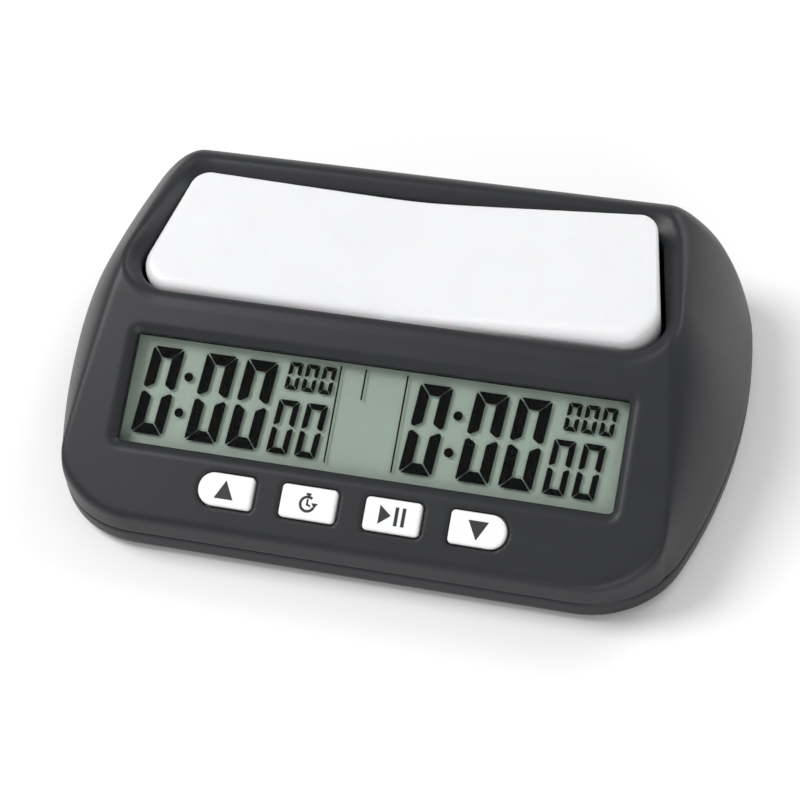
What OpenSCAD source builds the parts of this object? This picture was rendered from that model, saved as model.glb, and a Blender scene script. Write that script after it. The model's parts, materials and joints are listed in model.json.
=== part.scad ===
// Digital chess clock: two-shell housing, seesaw rocker, four keys, LCD and one AA cell.
// Frame: origin under the middle of the clock on the surface it stands on, +X right,
// +Y to the back, +Z up. Depths called "s" run back from the front face.

/* [Housing] */
// Width across the bulging sides
body_w = 130; // [126:1:134]
// Depth from front face to back
body_d = 82; // [80:1:84]
// Height of the joint line between the two shells
seam_z = 5.2; // [4.8:0.1:6]
// Radius of the side arcs in plan
side_r = 110; // [105:1:130]
// Depth at which the sides bulge most
side_mid = 49; // [46:1:52]
// Front corner radius in plan
front_corner_r = 18.5; // [16:0.5:20]
// Rear corner radius in plan
rear_corner_r = 20.5; // [18:0.5:22]
// Wall thickness of both shells
wall = 2.2; // [1.8:0.1:2.4]

/* [Top surface] */
// Slope of the control panel in degrees
panel_tilt = 27; // [25:0.5:29]
// Height of the panel's front edge
panel_front_z = 10.1; // [9.8:0.1:10.6]
// Depth where the panel turns into the crest
crest_at = 43.2; // [42:0.1:44]
// Half length of that turn
crest_blend = 6; // [4:0.5:7]
// Slope of the crest in degrees
crest_tilt = -3.4; // [-5:0.1:0]
// Half width of the flat part of the top at the front
flat_half = 57.5; // [55:0.5:58]
// How fast the flat part narrows towards the back
flat_taper = 0.157; // [0.1:0.001:0.2]
// Roundness of the shoulders
shoulder_power = 1.45; // [1.3:0.05:1.8]
// Length of the roll-off at the back
rear_roll = 10; // [9:0.5:12]

/* [Rocker] */
// Swing of the rocker from one side to the other, in degrees
rocker_swing = 3.6; // [3:0.1:3.8]
// Height of the rocker's top in the middle
rocker_top_z = 28.5; // [28:0.1:29]
// Rise of each wing towards its end
wing_rise = 0.0695; // [0.06:0.001:0.08]
// Height of the rocker's axle
axle_z = 24; // [23.5:0.1:24.5]
// Radius of the axle
axle_r = 1.25; // [1:0.05:1.5]

/* [Display and keys] */
// Visible width of the display
window_w = 92; // [88:1:93]
// Visible height of the display, along the panel
window_h = 20.4; // [19:0.1:20.8]
// Distance from the panel's front edge to the window
window_s = 14; // [13.8:0.1:14.2]
// Width of one key
key_w = 10.3; // [9:0.1:10.6]
// Height of one key, along the panel
key_h = 6.1; // [5.5:0.1:6.2]
// Distance from the panel's front edge to the keys
key_s = 4.5; // [4.3:0.1:4.6]
// Gap between neighbouring keys
key_gap = 5.3; // [5:0.1:6]
// Travel of a key
key_travel = 0.7; // [0.5:0.1:0.8]

/* [Battery] */
// Diameter of the cell
cell_d = 14.2; // [13.8:0.1:14.4]
// Length of the cell with its nub
cell_len = 50.5; // [49.5:0.1:50.5]

/* [Hidden] */
$fn = 48;
eps = 0.01;

// housing
foot_h = 1;
floor_t = 2.4;
floor_z = foot_h + floor_t;
rim_lip = 0.8;
skin = wall / cos(panel_tilt);
side_c = body_w / 2 - side_r;
front_cx = side_c + sqrt(pow(side_r - front_corner_r, 2) - pow(front_corner_r - side_mid, 2));
rear_cs = body_d - rear_corner_r;
rear_cx = side_c + sqrt(pow(side_r - rear_corner_r, 2) - pow(rear_cs - side_mid, 2));
front_join = atan2(front_corner_r - side_mid, front_cx - side_c);
rear_join = atan2(rear_cs - side_mid, rear_cx - side_c);
corner_rows = 6;
middle_rows = 13;
columns = 22;
tall = 50;

// Trapeziums with round corners: front s, rear s, half width at each, corner radius at each.
well = [36.3, 71.8, 53.1, 50.4, 9.5, 8];
rocker_plan = [40.1, 68.2, 50.3, 44.9, 6.4, 4];
well_floor_z = 28.3;
collar_t = 1.6;
collar_z = 21;

// rocker
rocker_gap = 0.8;
rocker_mid_s = 54;
rocker_pitch = 5;
rocker_skin = 2;
rocker_side = 1.6;
rocker_skirt_z = 22.5;
rocker_rest = -rocker_swing / 2;
bend_half = 6;
hub_r = 2.7;
run_gap = 0.05;
axle_front = 38;
axle_back = 70.3;
pad_x = 42;
pad_s = 60;
pad_r = 2.4;
pad_t = 1.2;
pad_gap = 0.05;
pad_top_z = axle_z + pad_x * sin(rocker_rest) + (rocker_skirt_z - axle_z) * cos(rocker_rest) - pad_gap;
finger_x = 34;
finger_s = 42;
finger_t = 1.8;
finger_w = 5.2;
lever = 1.5;
lever_drop = 10;
lever_rest_z = axle_z - finger_x * sin(rocker_rest) - lever_drop * cos(rocker_rest);
lever_mid_z = axle_z - lever_drop;

// stack under the panel, as depths below its surface
recess_depth = 1.4;
recess_wall = 1.5;
recess_lip = 0.3;
lens_t = 0.8;
gasket_t = 0.2;
film_t = 0.2;
glass_t = 0.55;
lens_d = recess_depth + lens_t;
film_d = lens_d + gasket_t;
front_glass_d = film_d + film_t;
rear_glass_d = front_glass_d + glass_t;
reflector_d = rear_glass_d + glass_t;
board_d = 7;
board_t = 1.2;
board_under_d = board_d + board_t;
glass_half = 47.2;
glass_s = 13;
glass_h = 24;
rear_glass_h = 21.6;
holder_wall = 1;
lens_margin = 2;
board_half = 48.8;
board_s = 2.4;
board_h = 34.1;
ear_x = 51;
ear_s = [8, 33];
ear_r = 2.4;
board_pilot_r = 0.85;
board_screw_r = 0.8;

// keys
key_proud = 0.8;
key_clear = 0.25;
key_pitch = key_w + key_gap;
key_flange_d = wall + 0.15;
key_flange_t = 0.8;
key_stem_d = 5;
pad_sheet_t = 0.8;

// screws and feet
boss_front = [56, 20];
boss_rear = [54.5, 68];
boss_r = 2.8;
pilot_r = 1.25;
screw_r = 1.2;
screw_clear_r = 1.5;
screw_head_r = 2.3;
head_well_r = 2.6;
head_z = foot_h + 0.9;
head_well_z = foot_h + 1.9;
screw_top_z = 13;
foot_spots = [[40, 9], [44, 73]];
foot_r = 4.5;
foot_sunk = 0.55;

// battery bay and door
cell_s = 62;
cell_z = 10.1;
bay_half = 28.4;
bay_front = 54.3;
bay_back = 69.7;
bay_top_z = 17.9;
bay_wall = 1.2;
door_half = 28.5;
door_front = 53.3;
door_t = 1.4;
door_gap = 0.2;
tongue = 1.2;
tongue_t = 0.6;
contact_t = 0.4;
contact_x = 27.6;
cell_start = -24;

// buzzer
buzzer_x = -24;
buzzer_s = 24;
buzzer_r = 10;
buzzer_z = 4.6;
buzzer_ring_z = 6.2;
sound_hole_r = 0.8;
sound_ring_r = 4;

// switch
switch_w = 3.6;
switch_h = 8.6;
switch_s = 44.7;
switch_depth = 3.5;
switch_board_s = switch_s + switch_depth;
switch_board_t = 1.2;
switch_board_half = 7.5;
switch_board_top = 19.4;

// wires
lead_d = 1.1;
lead_sides = 8;
lead_steps = 4;

charcoal = "#3f4144";
white_plastic = "#f3f3f5";
steel = "silver";
board_green = "#1f6b3a";

// ---- plan and top surface ----

// Half width of the outline at depth s, moved inwards by i.
function half_width(s, i) =
  s < side_mid + (side_r - i) * sin(front_join)
    ? front_cx + sqrt(max(0, pow(front_corner_r - i, 2) - pow(s - front_corner_r, 2)))
    : s > side_mid + (side_r - i) * sin(rear_join)
      ? rear_cx + sqrt(max(0, pow(rear_corner_r - i, 2) - pow(s - rear_cs, 2)))
      : side_c + sqrt(pow(side_r - i, 2) - pow(s - side_mid, 2));

// Depths of the rows that describe the outline, close together in the corners.
function rows(i) = concat(
  [for (k = [0 : corner_rows - 1])
    front_corner_r - (front_corner_r - i) * cos(90 * k / corner_rows)],
  [for (k = [0 : middle_rows]) front_corner_r + (rear_cs - front_corner_r) * k / middle_rows],
  [for (k = [1 : corner_rows]) rear_cs + (rear_corner_r - i) * sin(90 * k / corner_rows)]);

// Plan outline, moved inwards by i, as points in the part's frame.
function outline(i) =
  let (ss = rows(i), n = len(ss))
  concat([for (s = ss) [half_width(s, i), s - body_d / 2]],
    [for (k = [n - 1 : -1 : 0]) [-half_width(ss[k], i), ss[k] - body_d / 2]]);

// Height of the top along the middle of the clock: panel, rounded turn, crest.
function ridge_z(s) =
  let (u = s - crest_at, turn = tan(crest_tilt) - tan(panel_tilt))
  panel_front_z + s * tan(panel_tilt)
    + turn * (u < -crest_blend ? 0 : u > crest_blend ? u : pow(u + crest_blend, 2) / (4 * crest_blend));

// Height of the top at (x, s), for a skin moved inwards by i and down by drop.
function top_z(x, s, i = 0, drop = 0) =
  let (edge = side_c + sqrt(pow(side_r, 2) - pow(s - side_mid, 2)) - i,
    flat = flat_half - flat_taper * s,
    t = min(1, max(0, (abs(x) - flat) / max(edge - flat, 1))),
    shoulder = pow(1 - pow(t, shoulder_power), 1 / shoulder_power),
    b = min(1, max(0, (s - body_d + rear_roll) / (rear_roll - i))),
    low = seam_z + rim_lip)
  low + (ridge_z(s) - drop - low) * shoulder * sqrt(1 - b * b);

// Solid under the top surface, standing on the height "bottom".
module under_top(i, drop, bottom) {
  ss = rows(i);
  nr = len(ss);
  nc = columns + 1;
  grid = [for (s = ss, k = [0 : columns])
    let (x = half_width(s, i) * sin(180 * k / columns - 90)) [x, s - body_d / 2, top_z(x, s, i, drop)]];
  rim = concat([for (k = [0 : columns]) k], [for (j = [1 : nr - 1]) j * nc + columns],
    [for (k = [columns - 1 : -1 : 0]) (nr - 1) * nc + k], [for (j = [nr - 2 : -1 : 1]) j * nc]);
  n = len(rim);
  foot = nr * nc;
  hub = foot + n;
  points = concat(grid, [for (k = rim) [grid[k].x, grid[k].y, bottom]], [[0, 0, bottom]]);
  skin_faces = [for (j = [0 : nr - 2], k = [0 : columns - 1])
    let (a = j * nc + k) each [[a, a + nc, a + nc + 1], [a, a + nc + 1, a + 1]]];
  wall_faces = [for (k = [0 : n - 1]) let (next = (k + 1) % n)
    each [[rim[k], rim[next], foot + next, foot + k], [foot + k, foot + next, hub]]];
  polyhedron(points, concat(skin_faces, wall_faces));
}

// Puts children into the panel's frame: X right, Y up the slope, Z out of the panel.
module on_panel() {
  translate([0, -body_d / 2, panel_front_z]) rotate([panel_tilt, 0, 0]) children();
}

// Plate lying under the panel: centred on x, from s0 up the slope, top at depth d.
module panel_plate(half, s0, h, d, t) {
  on_panel() translate([-half, s0, -d - t]) cube([2 * half, h, t]);
}

// ---- well and rocker outlines ----

function arc(cx, cs, r, a0, a1, n) =
  [for (k = [0 : n]) let (a = a0 + (a1 - a0) * k / n) [cx + r * cos(a), cs + r * sin(a)]];

// Right half of a trapezium p moved inwards by i, from front middle to rear middle.
function plan_side(p, i) =
  let (lean = atan2(p[2] - p[3], p[1] - p[0]),
    front_x = p[2] - p[4] * tan(lean) - p[4] / cos(lean),
    rear_x = p[3] + p[5] * tan(lean) - p[5] / cos(lean),
    front = arc(front_x, p[0] + p[4], p[4] - i, -90, lean, 6),
    rear = arc(rear_x, p[1] - p[5], p[5] - i, lean, 90, 6),
    a = front[6], b = rear[0])
  concat([for (k = [0 : 3]) [front_x * k / 4, p[0] + i]], front,
    [for (k = [1 : 4]) a + (b - a) * k / 5], rear,
    [for (k = [3 : -1 : 0]) [rear_x * k / 4, p[1] - i]]);

function plan_outline(p, i) =
  let (right = plan_side(p, i), n = len(right))
  concat([for (q = right) [q.x, q.y - body_d / 2]],
    [for (k = [n - 2 : -1 : 1]) [-right[k].x, right[k].y - body_d / 2]]);

// The funnel that is cut out of the top around the rocker.
module well_cut() {
  inner = plan_outline(rocker_plan, -rocker_gap);
  outer = plan_outline(well, 0);
  n = len(inner);
  points = concat([for (p = inner) [p.x, p.y, collar_z - 2]],
    [for (p = inner) [p.x, p.y, well_floor_z]],
    [for (p = outer) [p.x, p.y, top_z(p.x, p.y + body_d / 2)]],
    [for (p = outer) [p.x, p.y, tall]], [[0, 10, collar_z - 2], [0, 10, tall]]);
  sides = [for (j = [0 : 2], k = [0 : n - 1])
    let (a = j * n + k, b = j * n + (k + 1) % n)
    each [[a, a + n, b + n], [a, b + n, b]]];
  caps = [for (k = [0 : n - 1]) let (next = (k + 1) % n)
    each [[k, next, 4 * n], [3 * n + next, 3 * n + k, 4 * n + 1]]];
  polyhedron(points, concat(sides, caps));
}

// Turns children with the rocker about its axle, by an angle about +Y.
module tilted(angle) {
  translate([0, 0, axle_z]) rotate([0, angle, 0]) translate([0, 0, -axle_z]) children();
}

// Block under the V-shaped top of the rocker, lowered by drop.
module under_wings(drop) {
  reach = 60;
  steps = 20;
  profile = [for (k = [-steps : steps])
    let (x = reach * k / steps) [x, wing_rise * (sqrt(x * x + bend_half * bend_half) - bend_half) - drop]];
  translate([0, rocker_mid_s - body_d / 2, rocker_top_z]) rotate([rocker_pitch, 0, 0])
    rotate([90, 0, 0]) linear_extrude(height = 60, center = true)
      polygon(concat(profile, [[reach, -20], [-reach, -20]]));
}

// Rod along Y at the axle, from depth s0 to s1.
module axle_rod(r, s0, s1) {
  translate([0, s0 - body_d / 2, axle_z]) rotate([-90, 0, 0]) cylinder(r = r, h = s1 - s0);
}

// ---- shells ----

module housing_bosses(r, z0, z1) {
  for (side = [-1, 1], spot = [boss_front, boss_rear])
    translate([side * spot.x, spot.y - body_d / 2, z0]) cylinder(r = r, h = z1 - z0);
}

module board_posts(r, d0, d1) {
  for (side = [-1, 1], s = ear_s)
    on_panel() translate([side * ear_x, s, -d1]) cylinder(r = r, h = d1 - d0);
}

// Recess round the display, with sloping walls, and the window below it.
module display_cut() {
  on_panel() hull() {
    translate([0, window_s + window_h / 2, recess_lip - recess_depth])
      rounded_plate(window_w, window_h, 0.8, eps);
    translate([0, window_s + window_h / 2, 0])
      rounded_plate(window_w + 2 * recess_wall, window_h + 2 * recess_wall, 2, eps);
  }
  panel_plate(window_w / 2, window_s, window_h, recess_depth - recess_lip - eps, 4);
  panel_plate(window_w / 2 + lens_margin + 0.1, window_s - lens_margin - 0.1,
    window_h + 2 * lens_margin + 0.2, recess_depth, 4);
}

module rounded_plate(w, h, r, t) {
  linear_extrude(height = t) rounded_rect(w, h, r);
}

module rounded_rect(w, h, r) {
  for (sx = [-1, 1], sy = [-1, 1]) translate([sx * (w / 2 - r), sy * (h / 2 - r)]) circle(r = r);
  square([w - 2 * r, h], center = true);
  square([w, h - 2 * r], center = true);
}

// Middle of key number k (0 to 3) along X.
function key_x(k) = (k - 1.5) * key_pitch;

// Outline of a key: the outer end of the first and last one is round.
module key_outline(k, grow) {
  r = key_h * 0.48 + grow;
  w = key_w + 2 * grow;
  h = key_h + 2 * grow;
  round_end = k == 0 ? -1 : k == 3 ? 1 : 0;
  if (round_end == 0) {
    rounded_rect(w, h, 0.8);
  } else {
    translate([-round_end * 2, 0]) rounded_rect(w - 4, h, 0.8);
    for (sy = [-1, 1]) translate([round_end * (w / 2 - r), sy * (h / 2 - r)]) circle(r = r);
    translate([round_end * (w / 4 - r / 2), 0]) square([w / 2 - r, h], center = true);
    translate([round_end * (w / 2 - r / 2), 0]) square([r, h - 2 * r], center = true);
  }
}

module at_key(k) {
  on_panel() translate([key_x(k), key_s + key_h / 2, 0]) children();
}

module upper_housing() {
  color(charcoal) difference() {
    under_top(0, 0, seam_z);
    difference() {
      under_top(wall, skin, seam_z - 1);
      translate([0, 0, collar_z]) linear_extrude(height = tall)
        polygon(plan_outline(rocker_plan, -rocker_gap - collar_t));
      housing_bosses(boss_r, seam_z, tall);
      board_posts(ear_r - 0.4, 0, board_d);
    }
    well_cut();
    display_cut();
    for (k = [0 : 3]) at_key(k) translate([0, 0, -6]) linear_extrude(height = 10) key_outline(k, key_clear);
    housing_bosses(pilot_r, seam_z - 1, screw_top_z + 0.5);
    board_posts(board_pilot_r, 3, board_d + 1);
    axle_rod(axle_r, axle_front - 0.1, axle_back + 0.1);
  }
}

module bay_block(grow, z0, z1) {
  translate([-bay_half - grow, bay_front - grow - body_d / 2, z0])
    cube([2 * (bay_half + grow), bay_back - bay_front + 2 * grow, z1 - z0]);
}

// Upright posts with a groove that hold the edges of the switch board.
module switch_guides() {
  for (side = [-1, 1])
    translate([finger_x + side * (switch_board_half + 0.4), switch_board_s - body_d / 2, 0]) difference() {
      translate([-1.2, -1.3, floor_z - eps]) cube([2.4, 3.8, 12]);
      translate([side < 0 ? -0.5 : -1.3, -0.1, floor_z]) cube([1.8, switch_board_t + 0.2, 13]);
    }
}

module base_shell() {
  color(charcoal) difference() {
    union() {
      difference() {
        translate([0, 0, foot_h]) linear_extrude(height = seam_z - foot_h) polygon(outline(0));
        translate([0, 0, floor_z]) linear_extrude(height = seam_z) polygon(outline(wall));
      }
      difference() {
        translate([0, 0, floor_z - eps]) linear_extrude(height = seam_z + 1.5 - floor_z)
          polygon(outline(wall + 0.4));
        translate([0, 0, floor_z - 1]) linear_extrude(height = seam_z + 1) polygon(outline(wall + 1.4));
        translate([-60, -body_d / 2, seam_z + eps]) cube([120, 11, 3]);
        housing_bosses(boss_r + 0.3, seam_z + eps, tall);
      }
      bay_block(bay_wall, floor_z - eps, bay_top_z + bay_wall);
      housing_bosses(boss_r, floor_z - eps, seam_z);
      for (side = [-1, 1]) translate([side * pad_x, pad_s - body_d / 2, floor_z - eps])
        cylinder(r = pad_r + 0.4, h = pad_top_z - pad_t - floor_z);
      at_buzzer(floor_z - eps) cylinder(r = buzzer_r + 1.3, h = buzzer_ring_z - floor_z);
      switch_guides();
    }
    bay_block(0, foot_h - 1, bay_top_z);
    door_way();
    for (side = [-1, 1]) translate([side * (contact_x - 0.9) - 1, bay_front - 2 - body_d / 2, 13.7])
      cube([2, 3, 2.6]);
    housing_bosses(screw_clear_r, 0, tall);
    housing_bosses(head_well_r, 0, head_well_z);
    foot_pads(foot_r + 0.1, foot_h - 1, foot_h + foot_sunk);
    at_buzzer(floor_z) cylinder(r = buzzer_r - 1.2, h = 5);
    at_buzzer(buzzer_z) cylinder(r = buzzer_r + 0.1, h = 5);
    at_buzzer(0) cylinder(r = sound_hole_r, h = 6);
    for (k = [0 : 5]) at_buzzer(0) rotate([0, 0, 60 * k]) translate([sound_ring_r, 0, 0])
      cylinder(r = sound_hole_r, h = 6);
  }
}

module at_buzzer(z) {
  translate([buzzer_x, buzzer_s - body_d / 2, z]) children();
}

// Room for the battery door and its tongues, open towards the back.
module door_way() {
  translate([-door_half - door_gap, door_front - door_gap - body_d / 2, foot_h - 1])
    cube([2 * (door_half + door_gap), body_d, 1 + door_t + 0.1]);
  tongue_half = door_half + tongue + door_gap;
  translate([-tongue_half, door_front - door_gap - body_d / 2, foot_h + door_t - tongue_t - 0.1])
    cube([2 * tongue_half, body_d, tongue_t + 0.2]);
}

module battery_door() {
  color(charcoal) difference() {
    union() {
      translate([-door_half, door_front - body_d / 2, foot_h])
        cube([2 * door_half, body_d - door_front, door_t]);
      translate([-door_half - tongue, door_front - body_d / 2, foot_h + door_t - tongue_t])
        cube([2 * (door_half + tongue), 20, tongue_t]);
    }
    for (k = [0 : 4]) translate([-9, 71 - body_d / 2 + 1.8 * k, foot_h - 1]) cube([18, 0.8, 1.4]);
  }
}

module foot_pads(r, z0, z1) {
  for (side = [-1, 1], spot = foot_spots)
    translate([side * spot.x, spot.y - body_d / 2, z0]) cylinder(r = r, h = z1 - z0);
}

module rubber_feet() {
  color("#202020") foot_pads(foot_r, 0, foot_h + foot_sunk);
}

// Pan-head screw standing on its head: head from z0, shank up to z1.
module screw(head_r, head_t, shank_r, length) {
  difference() {
    union() {
      cylinder(r = head_r, h = head_t);
      cylinder(r = shank_r, h = length);
    }
    for (a = [0, 90]) rotate([0, 0, a]) translate([-head_r * 0.6, -0.3, -1])
      cube([head_r * 1.2, 0.6, 1 + head_t * 0.5]);
  }
}

module housing_screws() {
  color(steel) for (side = [-1, 1], spot = [boss_front, boss_rear])
    translate([side * spot.x, spot.y - body_d / 2, head_z])
      screw(screw_head_r, 1, screw_r, screw_top_z - head_z);
}

module board_screws() {
  color(steel) for (side = [-1, 1], s = ear_s)
    on_panel() translate([side * ear_x, s, -board_under_d - 1]) screw(1.8, 1, board_screw_r, 5.5);
}

// ---- rocker ----

module rocker() {
  color(white_plastic) tilted(rocker_rest) difference() {
    union() {
      difference() {
        intersection() {
          translate([0, 0, rocker_skirt_z]) linear_extrude(height = 20)
            polygon(plan_outline(rocker_plan, 0));
          under_wings(0);
        }
        intersection() {
          translate([0, 0, rocker_skirt_z - 1]) linear_extrude(height = 20)
            polygon(plan_outline(rocker_plan, rocker_side));
          under_wings(rocker_skin);
        }
      }
      intersection() {
        union() {
          axle_rod(hub_r, rocker_plan[0] + 0.5, rocker_plan[1] - 0.5);
          translate([-1, rocker_plan[0] + 1 - body_d / 2, axle_z]) cube([2, 26, 5]);
          for (side = [-1, 1]) translate([side * pad_x, pad_s - body_d / 2, rocker_skirt_z])
            cylinder(r = 2, h = 10);
          translate([finger_x - finger_w / 2, finger_s - body_d / 2, lever_mid_z - 1.8])
            cube([finger_w, finger_t, 18]);
        }
        under_wings(0.5);
      }
    }
    axle_rod(axle_r + run_gap, well[0], well[1]);
    translate([finger_x - lever, finger_s - 1 - body_d / 2, lever_mid_z - lever / 2 - 0.1])
      cube([2 * lever, finger_t + 2, lever + 0.2]);
  }
}

module rocker_axle() {
  color(steel) axle_rod(axle_r - eps, axle_front, axle_back);
}

module bumper_pads() {
  color("#303030") for (side = [-1, 1])
    translate([side * pad_x, pad_s - body_d / 2, pad_top_z - pad_t]) cylinder(r = pad_r, h = pad_t);
}

// ---- display ----

module display_lens() {
  color([0.9, 0.95, 0.95, 0.35]) panel_plate(window_w / 2 + lens_margin, window_s - lens_margin,
    window_h + 2 * lens_margin, recess_depth, lens_t);
}

module display_gasket() {
  color("#151515") difference() {
    panel_plate(window_w / 2 + lens_margin, window_s - lens_margin, window_h + 2 * lens_margin,
      lens_d, gasket_t);
    panel_plate(window_w / 2 + 0.2, window_s - 0.2, window_h + 0.4, lens_d - 1, gasket_t + 2);
  }
}

module front_polarizer() {
  color([0.6, 0.66, 0.6, 0.5]) panel_plate(glass_half, window_s - 0.6, rear_glass_h - 0.4, film_d, film_t);
}

module lcd_front_glass() {
  color([0.75, 0.85, 0.8, 0.4]) panel_plate(glass_half, glass_s, glass_h, front_glass_d, glass_t);
}

module lcd_rear_glass() {
  color([0.75, 0.85, 0.8, 0.4]) panel_plate(glass_half, glass_s, rear_glass_h, rear_glass_d, glass_t);
}

module lcd_reflector() {
  color("#a3b3a5") panel_plate(glass_half, glass_s, rear_glass_h, reflector_d, film_t);
}

module lcd_holder() {
  color("#e8e8e4") difference() {
    panel_plate(glass_half + 0.2 + holder_wall, glass_s - 0.3 - holder_wall,
      glass_h + 0.6 + 2 * holder_wall, front_glass_d, board_d - front_glass_d);
    panel_plate(glass_half + 0.2, glass_s - 0.3, glass_h + 0.6, front_glass_d - 1, 9);
  }
}

module zebra_strip() {
  color("#4a4a4f") panel_plate(glass_half - 2, glass_s + glass_h - 2, 1.8,
    rear_glass_d, board_d - rear_glass_d);
}

// ---- circuit board ----

module main_board() {
  color(board_green) difference() {
    union() {
      panel_plate(board_half, board_s, board_h, board_d, board_t);
      board_posts(ear_r, board_d, board_under_d);
      for (side = [-1, 1], s = ear_s) on_panel()
        translate([side * (ear_x - 1.5) - 1.5, s - ear_r, -board_under_d]) cube([3, 2 * ear_r, board_t]);
    }
    board_posts(board_screw_r + 0.3, board_d - 1, board_under_d + 1);
  }
}

module controller_blob() {
  color("#101010") on_panel() translate([6, 21, -board_under_d - 1.4]) cylinder(r1 = 4, r2 = 6.5, h = 1.4);
}

module crystal() {
  color(steel) on_panel() translate([22, 24, -board_under_d - 1.05]) rotate([-90, 0, 0])
    cylinder(r = 1, h = 6);
}

module chips(spots, w, h, t) {
  for (p = spots) on_panel() translate([p.x - w / 2, p.y - h / 2, -board_under_d - t]) cube([w, h, t]);
}

module capacitors() {
  color("#b08d5a") chips([for (k = [0 : 4]) [-6 - 3.5 * k, 34]], 2, 1.2, 0.9);
}

module resistors() {
  color("#1a1a1a") chips([for (k = [0 : 5]) [-6 - 4 * k, 22]], 1.6, 0.8, 0.5);
}

// ---- keys ----

// Key cap with a retaining flange under the panel and a stem that meets the keypad.
module key(k) {
  color(white_plastic) at_key(k) {
    translate([0, 0, -key_flange_d - key_flange_t / 2])
      linear_extrude(height = key_flange_d + key_flange_t / 2 + key_proud) key_outline(k, 0);
    translate([-key_w / 2 - 0.9, -key_h / 2 - 0.45, -key_flange_d - key_flange_t])
      cube([key_w + 1.8, key_h + 0.9, key_flange_t]);
    translate([0, 0, -key_stem_d]) cylinder(r = 1.6, h = key_stem_d - key_flange_d);
  }
}

module key_up() { key(0); }
module key_mode() { key(1); }
module key_play_pause() { key(2); }
module key_down() { key(3); }

// Silicone sheet on the board with one hollow dome under each key.
module keypad() {
  color("#c9cbd0") difference() {
    union() {
      panel_plate(2 * key_pitch, key_s - 1.2, key_h + 2.2, board_d - pad_sheet_t, pad_sheet_t);
      for (k = [0 : 3]) at_key(k) translate([0, 0, -board_d + pad_sheet_t - eps])
        cylinder(r1 = 2.9, r2 = 1.9, h = board_d - pad_sheet_t - key_stem_d - eps);
    }
    for (k = [0 : 3]) at_key(k) translate([0, 0, -board_d - eps])
      cylinder(r1 = 2.4, r2 = 1.5, h = board_d - key_stem_d - 0.6);
  }
}

// ---- power ----

module battery_cell() {
  color("#3a6ea5") translate([cell_start, cell_s - body_d / 2, cell_z]) rotate([0, 90, 0]) union() {
    cylinder(r = cell_d / 2, h = cell_len - 1.3);
    cylinder(r = 2.6, h = cell_len);
  }
}

// Contact plate with a soldering tab that reaches forward.
module contact(side) {
  x0 = side > 0 ? contact_x : -contact_x - contact_t;
  translate([x0, cell_s - 5 - body_d / 2, 5]) cube([contact_t, 10, 11]);
  translate([x0, bay_front + 0.3 - body_d / 2, 13.9]) cube([contact_t, 4, 2.1]);
}

module negative_contact() {
  color(steel) contact(-1);
}

module positive_contact() {
  color(steel) contact(1);
}

// Conical coil between the negative contact and the cell's flat end.
module battery_spring() {
  turns = 3;
  per_turn = 12;
  gap = cell_start + contact_x;
  n = turns * per_turn;
  color(steel) tube([for (k = [0 : n])
    let (a = 360 * k / per_turn, r = 4.6 - 2 * k / n)
    [-contact_x + 0.45 + (gap - 0.9) * k / n, cell_s - body_d / 2 + r * cos(a), cell_z + r * sin(a)]], 0.7);
}

// ---- buzzer and switch ----

module buzzer_disc() {
  color("#c9a84c") at_buzzer(buzzer_z) cylinder(r = buzzer_r, h = 0.3);
}

module buzzer_ceramic() {
  color("#e8e4da") at_buzzer(buzzer_z + 0.3) cylinder(r = 7, h = 0.2);
}

module switch_board() {
  color(board_green) translate([finger_x - switch_board_half, switch_board_s - body_d / 2, floor_z + 0.1])
    cube([2 * switch_board_half, switch_board_t, switch_board_top - floor_z - 0.1]);
}

module switch_body() {
  color(steel) difference() {
    translate([finger_x - switch_w / 2, switch_s - body_d / 2, lever_mid_z - switch_h / 2])
      cube([switch_w, switch_depth, switch_h]);
    translate([finger_x - lever / 2 - 0.1, switch_s - 1 - body_d / 2, lever_mid_z - 2.2])
      cube([lever + 0.2, 3.3, 4.4]);
  }
}

module switch_slider() {
  color("#1c1c1c") translate([finger_x - lever / 2, finger_s - 0.6 - body_d / 2, lever_rest_z - lever / 2])
    cube([lever, switch_s + 2 - finger_s + 0.6, lever]);
}

// ---- wires ----

// Point at t between b and c on the smooth curve through a, b, c and d.
function spline(a, b, c, d, t) =
  0.5 * (2 * b + (c - a) * t + (2 * a - 5 * b + 4 * c - d) * t * t + (3 * b - a - 3 * c + d) * t * t * t);

function smooth(p) =
  let (n = len(p))
  concat([for (k = [0 : n - 2], j = [0 : lead_steps - 1])
    spline(p[max(k - 1, 0)], p[k], p[k + 1], p[min(k + 2, n - 1)], j / lead_steps)], [p[n - 1]]);

function unit(v) = v / norm(v);

// Round tube of diameter d along the points of a path.
module tube(path, d) {
  n = len(path);
  points = [for (k = [0 : n - 1])
    let (t = unit(path[min(k + 1, n - 1)] - path[max(k - 1, 0)]),
      u = unit(cross(t, [0.93, 0.31, 0.17])), v = cross(t, u))
    for (j = [0 : lead_sides - 1])
      let (a = 360 * j / lead_sides) path[k] + d / 2 * (cos(a) * u + sin(a) * v)];
  sides = [for (k = [0 : n - 2], j = [0 : lead_sides - 1])
    let (a = k * lead_sides + j, b = k * lead_sides + (j + 1) % lead_sides)
    each [[a, a + lead_sides, b + lead_sides], [a, b + lead_sides, b]]];
  polyhedron(points, concat(sides, [[for (j = [0 : lead_sides - 1]) j]],
    [[for (j = [lead_sides - 1 : -1 : 0]) (n - 1) * lead_sides + j]]));
}

// Wire through hand-set points given as [x, s, z].
module lead(route) {
  tube(smooth([for (p = route) [p.x, p.y - body_d / 2, p.z]]), lead_d);
}

// Wire from a contact's tab, out of the bay and up to the board.
module battery_lead(side) {
  lead([[side * 26.95, 56, 15], [side * 26.6, 52.6, 15.2], [side * 24, 50.2, 16.5], [side * 20.5, 46, 14.5],
    [side * 18.6, 40, 11.5], [side * 18.4, 34.5, 11.5], [side * 18.4, 30.7, 15.5]]);
}

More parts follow.
